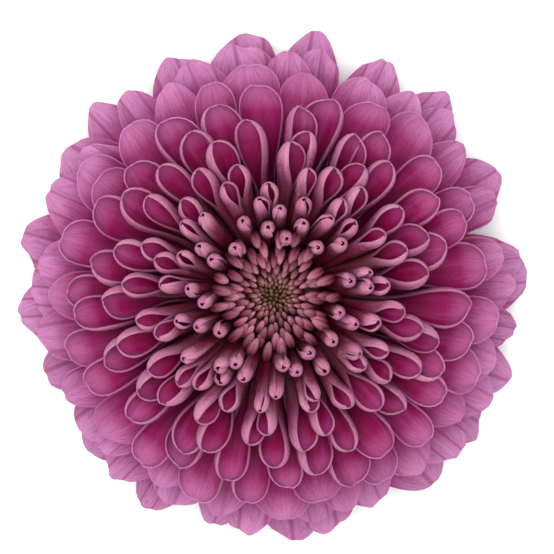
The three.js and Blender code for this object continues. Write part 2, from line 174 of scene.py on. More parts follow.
@dataclass
class Floret:
    """One open floret: the path of its midrib, and the width and curl of the sheet round it."""

    k: int
    age: float
    angle: float
    path: Array
    half_width: float
    claw_width: float
    swell_start: float
    claw_curl: float
    limb_curl: float
    claw_end: float
    limb_start: float
    openness: float
    flatness: float
    hood: float
    tip_start: float
    hook: float
    hood_start: float
    twist: float
    sway: float
    lap: float
    margin_curl: float
    furrow: float
    ribs: float
    keel: float
    wave: float
    phase: float
    squareness: float
    point: float
    skew: float
    notches: list[Pair]
    notch_width: float = 0.2
    swell: float = 0.42
    lobe: float = 0.3
    waves: float = 9.0
    steps: int = 12

    def points(self, u: Array, v: Array) -> Array:
        """Places points of the floret's middle surface.

        Args:
            u: the points' shares of the way from the root to the tip.
            v: their shares of the way from the midrib to either margin, from -1 to 1.

        Returns:
            Their places, one row each, in millimetres from the flower's axis.
        """
        t = self.through_tip(u)
        x = v * self.outline(t)
        way = u - (abs(self.skew) + self.skew * x) * smooth(t, 0.2, 1)
        for place, depth in self.notches:
            way = way - depth * np.exp(-(((x - place) / self.notch_width) ** 2)) * smooth(t, 0.35, 1)

        limb = smooth(u, self.claw_end, self.limb_start)
        curl = mix(self.claw_curl, self.limb_curl, limb)
        end = np.clip((u - self.hood_start) / (1 - self.hood_start), 0, 1)
        closing = 1 - np.sqrt(1 - mix(0.9, 0.99, self.openness) * end * end)
        swell = smooth(u, self.swell_start, self.swell_start + self.swell)
        body = mix(self.claw_width, self.half_width, swell) * (1 - self.hood * closing)
        body *= 1 + self.lobe * (1 - self.openness) * end**2 * np.cos(3 * math.pi * v + self.phase)
        across, up, turn = self.section(x, body, curl, self.margin_curl * limb)

        grown = smooth(u, 0.3, 0.8)
        ribs = np.cos(self.ribs * math.pi * x + self.phase)
        lift = grown * (self.furrow * ribs * (1 - 0.4 * x * x) + self.keel * np.abs(x)
                        + self.wave * np.abs(x) ** 3 * np.sin(self.waves * u + self.phase * np.sign(x)))
        across = across - lift * np.sin(turn)
        up = up + lift * np.cos(turn) + self.hook * closing
        cos, sin = math.cos(self.twist), math.sin(self.twist)
        side = across * cos - up * sin + self.sway * u * u
        placed = set_off(self.path, way, across * sin + up * cos, side, self.angle)
        placed[:, 2] = np.maximum(placed[:, 2], LOWEST)
        return placed

    def through_tip(self, u: Array) -> Array:
        """Returns the shares of the way through the tip that lie at shares u of the whole length."""
        return np.clip((u - self.tip_start) / (1 - self.tip_start), 0, 1)

    def outline(self, t: Array) -> Array:
        """Returns how wide the sheet still is at shares of the way through its tip, from 1 to nearly 0."""
        rounded = np.maximum(0, 1 - 0.985 * t**self.squareness) ** self.point
        return mix(1, mix(1 - 0.12 * t * t, rounded, self.flatness), self.openness)

    def folds(self, u: Array, v: Array) -> Array:
        """Returns where the lengthwise folds run, as an angle that is an odd number of half turns in each."""
        return self.ribs * math.pi * v * self.outline(self.through_tip(u)) + self.phase

    def section(self, x: Array, body: Array, curl: Array, margin_curl: Array) -> tuple[Array, Array, Array]:
        """Rolls the sheet's section, more tightly at one margin where it laps over the other.

        Args:
            x: places across, from -1 to 1.
            body: half the section's length.
            curl: half the angle that it turns through.
            margin_curl: how much more tightly the margins are rolled than the middle.

        Returns:
            How far across, how far up and how far turned the section is at those places.
        """
        inner = np.outer(x, (np.arange(self.steps) + 0.5) / self.steps)
        turns = inner + self.lap * inner**2 + margin_curl[:, None] * inner**3
        turns *= (curl / (1 + margin_curl))[:, None]
        end = (x + self.lap * x**2 + margin_curl * x**3) * curl / (1 + margin_curl)
        length = body * x
        return length * np.cos(turns).mean(axis=1), length * np.sin(turns).mean(axis=1), end


@dataclass(frozen=True)
class Bloom:
    """The flower head's driving sizes, and the rule that ages its florets.

    A pair of numbers holds for the eye and for the hem. A row of by_age holds a size's young value, its old
    one and the ages between which it goes from the one to the other. The rows of by_bloom_age, which tell how
    far a floret has opened, go by an age that strays from its age on the spiral.
    """

    radius: float = 57.6
    crown: float = 45.0
    crown_fall: float = 2.3
    hem_fullness: float = 1.25
    hem_sag: float = 3.0
    quill_reach: float = 13.6
    receptacle_radius: float = 14.0
    root_heights: Pair = (25.0, 20.6)
    tip_floor: float = 0.31
    handle: float = 0.36
    leaning: float = 0.75
    claw_turns: Pair = (86.0, 4.0)
    tip_turns: Pair = (66.0, -26.0)
    hug_turns: Pair = (38.0, 30.0)
    half_width: float = 4.5
    by_age: Ageing = (
        ("hug", 1.0, 0.0, 0.0, 0.25),
        ("limb_growth", 0.0, 3.3, 0.08, 0.6),
        ("hem_growth", 0.0, 0.9, 0.6, 1.0),
        ("hem", 0.0, 1.0, 0.62, 0.95),
        ("claw_width", 4.1, 2.6, 0.3, 1.0),
        ("claw_curl", 3.2, 1.6, 0.3, 1.0),
        ("claw_end", 0.78, 0.05, 0.2, 0.75),
        ("limb_start", 1.0, 0.6, 0.15, 0.85),
        ("swell_start", 0.44, 0.3, 0.5, 0.9),
        ("margin_curl", 0.4, 0.9, 0.5, 0.8),
        ("twist", 58.0, 15.0, 0.1, 0.7),
        ("squareness", 4.2, 2.0, 0.4, 0.85),
    )
    by_bloom_age: Ageing = (
        ("openness", 0.0, 1.0, 0.06, 0.3),
        ("flatness", 0.0, 1.0, 0.5, 0.8),
        ("tip_start", 0.93, 0.6, 0.06, 0.36),
        ("hood", 1.0, 0.0, 0.55, 0.85),
        ("hook", 1.0, 0.1, 0.5, 0.95),
    )
    notched_from: float = 0.6
    unrolling: Profile = (
        (0.1, 3.3), (0.3, 2.95), (0.45, 2.7), (0.6, 2.35), (0.72, 1.8), (0.85, 1.05), (1.0, 0.45),
    )

    def floret(self, n: int) -> Floret:
        """Ages open floret n.

        Args:
            n: its number among the open florets, from 0 beside the eye.

        Returns:
            The floret, with all its sizes.
        """
        k = SPIRAL.young + n
        age = n / (SPIRAL.opened - 1)
        stray = [SPIRAL.draw(k, purpose) for purpose in range(max(Stray) + 1)]
        bloom_age = min(max(age + 0.05 * stray[Stray.AGE] + 0.08 * stray[Stray.LATE]**5, 0), 1)
        sizes = {
            name: mix(young, old, smooth(at, start, end))
            for at, rows in ((age, self.by_age), (bloom_age, self.by_bloom_age))
            for name, young, old, start, end in rows
        }
        hug, hem, opened = sizes.pop("hug"), sizes.pop("hem"), sizes["openness"]
        root_radius = self.receptacle_radius * math.sqrt((k + 0.5) / (SPIRAL.young + SPIRAL.opened))
        root_height = mix(*self.root_heights, age)
        spread = 1 - (1 - age)**self.hem_fullness
        reach = mix(self.quill_reach, self.radius, spread) + mix(0.7, 0.8, age) * stray[Stray.REACH]
        fall = (self.crown + self.hem_sag) * age**self.crown_fall
        height = max(self.crown - fall + 1.2 * stray[Stray.HEIGHT], self.tip_floor)
        length = math.hypot(height - root_height, reach - root_radius)
        claw_turn, tip_turn = (mix(*turns, age**self.leaning) for turns in (self.claw_turns, self.tip_turns))
        claw_turn = math.radians(claw_turn - self.hug_turns[0] * hug)
        tip_turn = math.radians(tip_turn + self.hug_turns[1] * hug + 7 * stray[Stray.TIP_TURN])
        handle = self.handle * length
        path = np.array([
            [root_radius, root_height],
            [root_radius + handle * math.cos(claw_turn), root_height + handle * math.sin(claw_turn)],
            [reach - handle * math.cos(tip_turn), height - handle * math.sin(tip_turn)],
            [reach, height],
        ])
        half_width = self.half_width + sizes.pop("limb_growth") + sizes.pop("hem_growth")
        half_width *= 1 + mix(0.07, 0.18, age) * stray[Stray.WIDTH]
        limb_curl = float(np.interp(bloom_age, *zip(*self.unrolling)))
        limb_radius = half_width / limb_curl
        sizes["hood"] *= mix(1, 0.9, opened)
        sizes["hook"] *= 0.75 * min(limb_radius, 3.2)
        sizes["twist"] = math.radians(sizes["twist"]) * stray[Stray.TWIST]
        sizes["margin_curl"] *= opened
        sizes["squareness"] += 0.3 * stray[Stray.SQUARENESS]
        notches = [
            (0.45 * stray[Stray.PLACE + i], 0.02 * hem * (0.3 + abs(stray[Stray.DEPTH + i])))
            for i in range(1 + (stray[Stray.NOTCHES] > 0.1)) if age > self.notched_from
        ]
        return Floret(
            **sizes,
            k=k,
            age=age,
            angle=SPIRAL.angle(k, Stray.ANGLE),
            path=path,
            half_width=half_width,
            limb_curl=limb_curl,
            hood_start=1 - 1.4 * min(limb_radius, 3.5) / length,
            sway=mix(0.06, 0.045, age) * length * stray[Stray.SWAY],
            lap=math.copysign(0.13, stray[Stray.LAP]) * (1 - opened),
            furrow=mix(0.04, 0.5, hem) * (1 + 0.4 * stray[Stray.FURROW]),
            ribs=3.6 + 1.2 * stray[Stray.RIBS],
            keel=1.6 * hem * max(0, stray[Stray.KEEL]),
            wave=mix(0.1, 0.6, hem) * (1 + 0.6 * stray[Stray.WAVE]),
            phase=math.pi * stray[Stray.PHASE],
            point=0.5 + 0.14 * hem * (0.5 + 0.5 * stray[Stray.POINT]),
            skew=0.018 * opened * (1 - hem) * stray[Stray.SKEW],
            notches=notches,
        )


BLOOM = Bloom()


def deselect() -> None:
    """Leaves nothing selected."""
    bpy.ops.object.select_all(action="DESELECT")


def apply_modifier(piece: Object, kind: str, **settings: object) -> None:
    """Gives a piece a modifier and applies it.

    Args:
        piece: the piece.
        kind: the modifier's kind.
        **settings: the modifier's properties.
    """
    deselect()
    piece.select_set(True)
    bpy.context.view_layer.objects.active = piece
    modifier = piece.modifiers.new(kind.lower(), kind)
    for name, value in settings.items():
        setattr(modifier, name, value)
    bpy.ops.object.modifier_apply(modifier=modifier.name)


def copies_joined(blank: Object, name: str, count: int, shape: Callable[[Mesh, int], None]) -> Object:
    """Copies a blank, shapes each copy and joins them into one piece.

    Args:
        blank: the blank, which is removed.
        name: the new piece's name.
        count: the number of copies.
        shape: a function that shapes the mesh of copy i.

    Returns:
        The piece.
    """
    made = []
    for i in range(count):
        copy = blank.copy()
        copy.data = blank.data.copy()
        bpy.context.collection.objects.link(copy)
        shape(copy.data, i)
        made.append(copy)
    bpy.data.objects.remove(blank)
    deselect()
    for copy in made:
        copy.select_set(True)
    bpy.context.view_layer.objects.active = made[0]
    bpy.ops.object.join()
    made[0].name = made[0].data.name = name
    return made[0]


def places(mesh: Mesh) -> Array:
    """Reads where a mesh's vertices are.

    Args:
        mesh: the mesh.

    Returns:
        Their places, one row each.
    """
    flat = np.empty(len(mesh.vertices) * 3)
    mesh.vertices.foreach_get("co", flat)
    return flat.reshape(-1, 3)


def set_places(mesh: Mesh, points: Array) -> None:
    """Moves a mesh's vertices.

    Args:
        mesh: the mesh.
        points: their new places, in millimetres from the flower's axis, one row each.
    """
    moved = (points + np.array([*AXIS, 0.0])) * MM
    mesh.vertices.foreach_set("co", np.ascontiguousarray(moved, dtype=np.float32).ravel())
    mesh.update()


def set_attribute(mesh: Mesh, name: str, *columns: Values) -> None:
    """Writes a vector for each vertex, which the finishes read.

    Args:
        mesh: the mesh.
        name: the attribute's name.
        *columns: the vectors' three parts, of which some may be one number for the whole mesh.
    """
    values = np.stack(np.broadcast_arrays(*columns), axis=1)
    attribute = mesh.attributes.new(name, "FLOAT_VECTOR", "POINT")
    attribute.data.foreach_set("vector", values.astype(np.float32).ravel())


def blank_sheet(rows: int, columns: int) -> Object:
    """Adds a flat sheet that runs from 0 to 1 across (x) and along (y).

    Args:
        rows: the number of facets along it.
        columns: the number of facets across it.

    Returns:
        The sheet.
    """
    deselect()
    bpy.ops.mesh.primitive_grid_add(
        x_subdivisions=columns, y_subdivisions=rows, size=1, location=(0.5, 0.5, 0),
    )
    sheet = bpy.context.object
    bpy.ops.object.transform_apply(location=True)
    bpy.ops.object.shade_smooth()
    return sheet


def blank_tube(name: str, sides: int, profile: Profile, pointed: bool = False) -> Object:
    """Models a round closed form by extruding a circle up and resizing it.

    Args:
        name: its name.
        sides: the number of its sides.
        profile: its (height, radius) stations, the lowest first.
        pointed: whether its last station closes to a point.

    Returns:
        The form, on the Z axis, in the units of the profile.
    """
    deselect()
    height, radius = profile[0]
    bpy.ops.mesh.primitive_circle_add(
        vertices=sides, radius=radius, fill_type="NOTHING", location=(0, 0, height),
    )
    form = bpy.context.object
    form.name = form.data.name = name
    bpy.ops.object.transform_apply(location=True)
    bpy.ops.object.mode_set(mode="EDIT")
    bpy.ops.mesh.select_all(action="SELECT")
    for next_height, next_radius in profile[1:]:
        rise = (0, 0, next_height - height)
        bpy.ops.mesh.extrude_region_move(TRANSFORM_OT_translate={"value": rise})
        share = next_radius / radius
        bpy.ops.transform.resize(value=(share, share, 1), center_override=(0, 0, next_height))
        height, radius = next_height, next_radius
    if pointed:
        bpy.ops.mesh.merge(type="CENTER")
    bpy.ops.mesh.select_all(action="SELECT")
    bpy.ops.mesh.fill_holes(sides=0)
    bpy.ops.mesh.normals_make_consistent(inside=False)
    bpy.ops.object.mode_set(mode="OBJECT")
    bpy.ops.object.shade_smooth()
    return form


def add_node(
    tree: NodeTree, kind: str, inputs: dict | None = None, stops: Stops = (), **settings: object,
) -> Node:
    """Adds a node with its settings and links, or gives them to the surface shader, which is there already.

    Args:
        tree: the finish's node tree.
        kind: the shader node's type, or the surface shader's name.
        inputs: what its sockets take, by name or number: a constant, a colour's hex code or another node's
            output. A node stands for its first output.
        stops: a ramp's places and hex colours.
        **settings: the node's own properties.

    Returns:
        The node.
    """
    node = tree.nodes[kind] if kind == SHADER else tree.nodes.new("ShaderNode" + kind)
    for name, value in settings.items():
        setattr(node, name, value)
    for socket, value in (inputs or {}).items():
        if isinstance(value, (Node, NodeSocket)):
            tree.links.new(value.outputs[0] if isinstance(value, Node) else value, node.inputs[socket])
        else:
            node.inputs[socket].default_value = linear(value) if isinstance(value, str) else value
    if stops:
        elements = node.color_ramp.elements
        while len(elements) < len(stops):
            elements.new(0.5)
        for element, (place, code) in zip(elements, stops):
            element.position = place
            element.color = linear(code)
    return node


def new_finish(name: str) -> tuple[Material, Callable[..., Node]]:
    """Makes an empty finish.

    Args:
        name: its name.

    Returns:
        The material, and add_node for its node tree.
    """
    material = bpy.data.materials.new(name)
    material.use_nodes = True
    return material, partial(add_node, material.node_tree)


@dataclass(frozen=True)
class PetalFace:
    """One face of a ray petal: a thin living skin whose cone-shaped cells make it look like velvet.

    The young colours go from the claw to the tip of a floret beside the eye, and the old ones do at the hem.
    The sheet attribute holds a point's place across, its place along and the floret's age. The grain
    attribute holds the same places in millimetres, and a number of the floret's own. The fold attribute holds
    the angle of the folds, that number and how near the hem the floret is.
    """

    name: str
    young: tuple[str, str, str]
    old: tuple[str, str, str]
    margin: str
    pale: str
    vein_and_fold_shade: str
    margin_share: float
    mottle_share: float
    vein_share: float
    faded: str = "c89ec8"
    fade_share: float = 0.5
    tone_share: float = 0.22
    grain_share: float = 0.5
    fold_shade_share: float = 0.62
    claw_shade_share: float = 0.94
    roughness: float = 0.58
    sheen: float = 0.02
    specular: float = 0.06
    young_stops: Triple = (0.5, 0.84, 0.98)
    old_stops: Triple = (0.5, 0.85, 1.0)
    margin_from: float = 0.6
    lip_from: float = 0.86
    fades_from: float = 0.72
    claw_shade_span: Pair = (0.5, 0.94)
    vein_spacing: float = 0.9
    vein_depth: float = 0.06
    vein_width: float = 0.05
    ripens: Pair = (0.1, 0.9)

    def build(self) -> Material:
        """Builds the finish: patterns, the shares of the layers of colour, and the layers, the deepest first.

        Returns:
            The material.
        """
        material, add = new_finish(self.name)
        sheet, grain, fold = [
            add("Attribute", attribute_name=name).outputs["Vector"] for name in ("sheet", "grain", "fold")
        ]
        across, along, age = add("SeparateXYZ", {0: sheet}).outputs
        folds, own, hem = add("SeparateXYZ", {0: fold}).outputs

        # The veins run the length of the petal, vein_spacing millimetres apart, and fan out a little. Broad
        # pale stretches, some 2 mm wide, differ from petal to petal, as the cells hold more or less colour.
        # The cells catch the light in fine grains of 0.3 mm, drawn some ten times coarser than they are.
        spacing = 1 / self.vein_spacing
        patterns = []
        for scale, values in (
            ((spacing, spacing / 14, 1), {"Scale": 1.6, "Detail": 3, "Roughness": 0.6, "Distortion": 0.3}),
            ((0.45, 0.05, 1), {"Scale": 1.0, "Detail": 2}),
            ((3.2, 1.8, 1), {"Scale": 1.0, "Detail": 1}),
        ):
            stretched = add("VectorMath", {0: grain, 1: scale}, **TIMES)
            patterns.append(add("TexNoise", {"Vector": stretched, **values}))
        veins, stretches, cells = patterns
        mottled = add(
            "MapRange", {"Value": stretches, "From Min": 0.4, "From Max": 0.75, "To Max": self.mottle_share},
            **SMOOTH,
        )
        grained = add(
            "MapRange", {"Value": cells, "From Min": 0.45, "From Max": 0.75, "To Max": self.grain_share},
        )

        # The oldest petals have faded to lilac towards their tips.
        fading = add("MapRange", {"Value": along, "From Min": self.fades_from, "To Max": self.fade_share})
        faded = add("Math", {0: fading, 1: hem}, **TIMES)

        # The hem's petals are darkened along the bottom of their furrows too, as painted shade in the folds.
        centred = add("Math", {0: veins, 1: 0.5}, operation="SUBTRACT")
        distance = add("Math", {0: centred}, operation="ABSOLUTE")
        vein_mask = add(
            "MapRange",
            {"Value": distance, "From Max": self.vein_width, "To Min": self.vein_share, "To Max": 0.0},
            **SMOOTH,
        )
        wave = add("Math", {0: folds}, operation="COSINE")
        furrow_shade = add(
            "MapRange", {"Value": wave, "From Min": -0.75, "From Max": -1.0, "To Max": self.fold_shade_share},
            **SMOOTH,
        )
        fold_shade = add("Math", {0: furrow_shade, 1: hem}, **TIMES)
        veins_and_fold_shade = add("Math", {0: vein_mask, 1: fold_shade}, operation="MAXIMUM")

        # The margin and the lip of the limb are thinner, and so paler.
        side = add("Math", {0: across}, operation="ABSOLUTE")
        near = add("MapRange", {"Value": side, "From Min": self.margin_from, "To Max": self.margin_share})
        lip = add("MapRange", {"Value": along, "From Min": self.lip_from, "To Max": self.margin_share})
        nearest = add("Math", {0: near, 1: lip}, operation="MAXIMUM")
        limb = add("MapRange", {"Value": along, "From Min": 0.3, "From Max": 0.6}, **SMOOTH)
        edged = add("Math", {0: nearest, 1: limb}, **TIMES)

        # No two florets hold quite the same amount of colour.
        tone = add("TexWhiteNoise", {"W": own}, noise_dimensions="1D")
        toned = add("Math", {0: tone, 1: self.tone_share}, **TIMES)

        # Rolled petals have their darkest colour in the claw; painted shade darkens the claw further towards
        # it, as it lies deep in the shade.
        low, high = self.ripens
        ripe = add("MapRange", {"Value": age, "From Min": low, "From Max": high}, **SMOOTH)
        low, high = self.claw_shade_span
        claw_shade = add(
            "MapRange",
            {"Value": along, "From Min": low, "From Max": high, "To Min": self.claw_shade_share, "To Max": 0.0},
            **SMOOTH,
        )
        unripe = add("Math", {0: 1.0, 1: ripe}, operation="SUBTRACT")
        painted_claw_shade = add("Math", {0: claw_shade, 1: unripe}, **TIMES)

        young, old = [
            add("ValToRGB", {0: along}, tuple(zip(*ramp)))
            for ramp in ((self.young_stops, self.young), (self.old_stops, self.old))
        ]
        colour = add("Mix", {0: ripe, 6: young, 7: old}, **COLOUR).outputs[2]
        # Layers over the ramps: pale stretches and grains, fading, veins with the painted shade of the folds,
        # paler margins, each floret's tone and the painted shade of the claws.
        for code, share in (
            (self.pale, mottled), (self.pale, grained), (self.faded, faded), (self.vein_and_fold_shade, veins_and_fold_shade),
            (self.margin, edged), (self.old[0], toned), (self.young[0], painted_claw_shade),
        ):
            colour = add("Mix", {0: share, 6: colour, 7: code}, **COLOUR).outputs[2]
        add(SHADER, {
            "Base Color": colour, "Roughness": self.roughness, "Specular IOR Level": self.specular,
            "Sheen Weight": self.sheen, "Sheen Roughness": 0.4,
            "Normal": add("Bump", {"Strength": 0.6, "Distance": self.vein_depth * MM, "Height": veins}),
        })
        return material


# The upper skin of a living ray petal: deep magenta velvet that keeps its colour in the light, with almost no
# gloss, since every cell stands up in a cone. Between its veins it is smooth.
PETAL_INSIDE = PetalFace(
    name="ray_petal_upper_skin", young=("5c0020", "780036", "8a0c50"), old=("6a003a", "8c1a5a", "b480a8"),
    margin="b4568e", pale="b0609c", vein_and_fold_shade="70184e", margin_share=0.3, mottle_share=0.24, grain_share=0.08,
    vein_share=0.5, vein_width=0.06, old_stops=(0.5, 0.84, 1.0), ripens=(0.26, 0.93),
)

# The lower skin: flatter cells with less colour over pale flesh, so it is a dull dusty pink with raised
# veins.
PETAL_OUTSIDE = PetalFace(
    name="ray_petal_lower_skin", young=("520018", "620e2e", "a05c76"), old=("742252", "9a487c", "b47ca6"),
    margin="b87e98", pale="c48ea4", vein_and_fold_shade="6a2440", margin_share=0.4, mottle_share=0.5, grain_share=0.3,
    claw_shade_span=(0.58, 0.96), specular=0.03, sheen=0.01, vein_share=0.65, vein_depth=0.12, margin_from=0.74,
    vein_spacing=0.55,
)

# The cut of the petal's thin flesh along its margin: it gathers the light into a fine pale line.
PETAL_MARGIN = PetalFace(
    name="ray_petal_margin", young=("3a0616", "7c3850", "a2667c"), old=("7c2c5e", "9c4c82", "b878a8"),
    margin="b07890", pale="863a60", vein_and_fold_shade="946076", margin_share=0.0, mottle_share=0.6, vein_share=0.1,
)


@dataclass(frozen=True)
class BudSkin:
    """The skin of the closed young florets: matt and downy, olive in the middle of the eye, rose at its edge.

    The sheet attribute holds the angle round a bud, the place along it and its share of the way to the edge.
    """

    name: str = "young_petal_skin"
    ages: Stops = ((0.12, "4a3220"), (0.45, "70322f"), (0.85, "8e405a"))
    tips: Stops = ((0.1, "90764e"), (0.5, "c68aa0"))
    shade_and_tone: str = "2a0008"
    pleats: float = 5.0
    pleat_shade_share: float = 0.6
    dust_and_highlight_share: float = 0.8
    tone_share: float = 0.58
    hair: float = 0.25
    relief: float = 0.08

    def build(self) -> Material:
        """Builds the finish.

        Returns:
            The material.
        """
        material, add = new_finish(self.name)
        sheet = add("Attribute", attribute_name="sheet").outputs["Vector"]
        around, along, age = add("SeparateXYZ", {0: sheet}).outputs
        ripe, tip = [add("ValToRGB", {0: age}, stops) for stops in (self.ages, self.tips)]
        # Painted shade darkens the grooves where the closed lobes meet in clefts, and the buds' feet, which
        # stand in each other's shade.
        pleat = add("Math", {0: around, 1: self.pleats}, **TIMES)
        groove = add("Math", {0: pleat}, operation="COSINE")
        pleated = add("MapRange", {"Value": groove, "From Min": 0.2, "To Max": self.pleat_shade_share})
        foot = add(
            "MapRange", {"Value": along, "From Min": 0.2, "From Max": 0.75, "To Min": 1.0, "To Max": 0.0},
        )
        # The dust of short hairs that the tips carry, in grains of about a quarter of a millimetre, lightens
        # the tips partly as a painted highlight.
        place = add("TexCoord").outputs["Object"]
        dust = add(
            "TexNoise", {"Vector": place, "Scale": 1 / (self.hair * MM), "Detail": 2, "Roughness": 0.7},
        )
        grains = add("MapRange", {"Value": dust, "From Min": 0.4, "From Max": 0.65, "To Min": 0.35})
        high = add("MapRange", {"Value": along, "From Min": 0.66, "To Max": self.dust_and_highlight_share}, **SMOOTH)
        dust_and_highlight = add("Math", {0: high, 1: grains}, **TIMES)
        # No two buds are quite as dark.
        tone = add("Attribute", attribute_name="tone").outputs["Fac"]
        toned = add("MapRange", {"Value": tone, "From Min": -1.0, "To Max": self.tone_share})
        # Layers: painted shade in the grooves and at the feet, the dust on the tips with a painted highlight,
        # and each bud's own tone.
        colour = ripe
        for layer, share in ((self.shade_and_tone, pleated), (self.shade_and_tone, foot), (tip, dust_and_highlight), (self.shade_and_tone, toned)):
            colour = add("Mix", {0: share, 6: colour, 7: layer}, **COLOUR).outputs[2]
        bump = add("Bump", {"Strength": 0.5, "Distance": self.relief * MM, "Height": dust})
        add(SHADER, {"Base Color": colour, "Roughness": 0.6, "Specular IOR Level": 0.05, "Normal": bump})
        return material


@dataclass(frozen=True)
class PlantSkin:
    """A plain skin or flesh, matt and faintly streaked: two colours that run into each other along it.

    The streak is the streaks' width in millimetres. They are some seven times as long.
    """

    name: str
    dark: str
    light: str
    streak: float
    margin: str | None = None
    relief: float = 0.08

    def build(self) -> Material:
        """Builds the finish.

        Returns:
            The material.
        """
        material, add = new_finish(self.name)
        place = add("TexCoord").outputs["Object"]
        scale = 1 / MM / self.streak
        stretched = add("VectorMath", {0: place, 1: (scale, scale, 0.15 * scale)}, **TIMES)
        streaks = add("TexNoise", {"Vector": stretched, "Scale": 1.0, "Detail": 4, "Roughness": 0.6})
        colour = add("ValToRGB", {0: streaks}, ((0.35, self.dark), (0.65, self.light)))
        if self.margin:
            # A bract's margins and tip are dry and papery.
            sheet = add("Attribute", attribute_name="sheet").outputs["Vector"]
            across, along, _ = add("SeparateXYZ", {0: sheet}).outputs
            side = add("Math", {0: across}, operation="ABSOLUTE")
            beside = add("MapRange", {"Value": side, "From Min": 0.55, "From Max": 0.85}, **SMOOTH)
            end = add("MapRange", {"Value": along, "From Min": 0.8, "From Max": 0.97}, **SMOOTH)
            dry = add("Math", {0: beside, 1: end}, operation="MAXIMUM")
            colour = add("Mix", {0: dry, 6: colour, 7: self.margin}, **COLOUR).outputs[2]
        bump = add("Bump", {"Strength": 0.5, "Distance": self.relief * MM, "Height": streaks})
        add(SHADER, {"Base Color": colour, "Roughness": 0.6, "Specular IOR Level": 0.15, "Normal": bump})
        return material


def dress(piece: Object, *finishes: Material) -> None:
    """Gives a piece its finishes.

    Args:
        piece: the piece.
        *finishes: its finishes, in the order of its faces' indices.
    """
    piece.data.materials.clear()
    for material in finishes:
        piece.data.materials.append(material)


def declare(piece: Object, node: str) -> None:
    """Tells the frame which body a piece rides on and which solid it stands for.

    Args:
        piece: the piece.
        node: the solid's name.
    """
    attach(piece, BODY)
    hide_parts(node)
    LOG.info("%s: %d faces", piece.name, len(piece.data.polygons))


class Whorl(Enum):
    """The four kinds of open floret: name, last age, facets along and facets across."""

    QUILLS = ("ray_quills", 0.16, 20, 18)
    SPOONS = ("ray_spoons", 0.42, 22, 18)
    CUPS = ("ray_cups", 0.7, 22, 18)
    HEM = ("ray_hem_petals", 1.01, 22, 24)


@dataclass
class Canopy:
    """The undersides of the florets so far, on a grid of cells.

    A floret under them is pressed down where it would meet them, as they crowd each other in the bud.
    """

    cell: float = 0.8
    half: float = 64.0
    gap: float = 0.3
    clear: Pair = (3.0, 6.0)
    undersides: Array = field(init=False)

    def __post_init__(self) -> None:
        """Starts with nothing above."""
        count = round(2 * self.half / self.cell)
        self.undersides = np.full((count, count), np.inf)

    def cells(self, points: Array) -> tuple[Array, Array]:
        """Returns the rows and columns of the grid's cells that points lie in."""
        rows, columns = ((points[:, :2] + self.half) / self.cell).astype(int).T
        return rows, columns

    def press(self, points: Array) -> Array:
        """Returns how far down each point has to go. One that stands clear above a floret stays."""
        over = np.maximum(points[:, 2] - self.undersides[self.cells(points)] + self.gap, 0)
        return over * (1 - smooth(over, *self.clear))

    def cover(self, points: Array) -> None:
        """Adds a floret's points, pressed down, to what lies above the next ones."""
        pressed = points[:, 2] - self.press(points)
        np.minimum.at(self.undersides, self.cells(points), pressed)


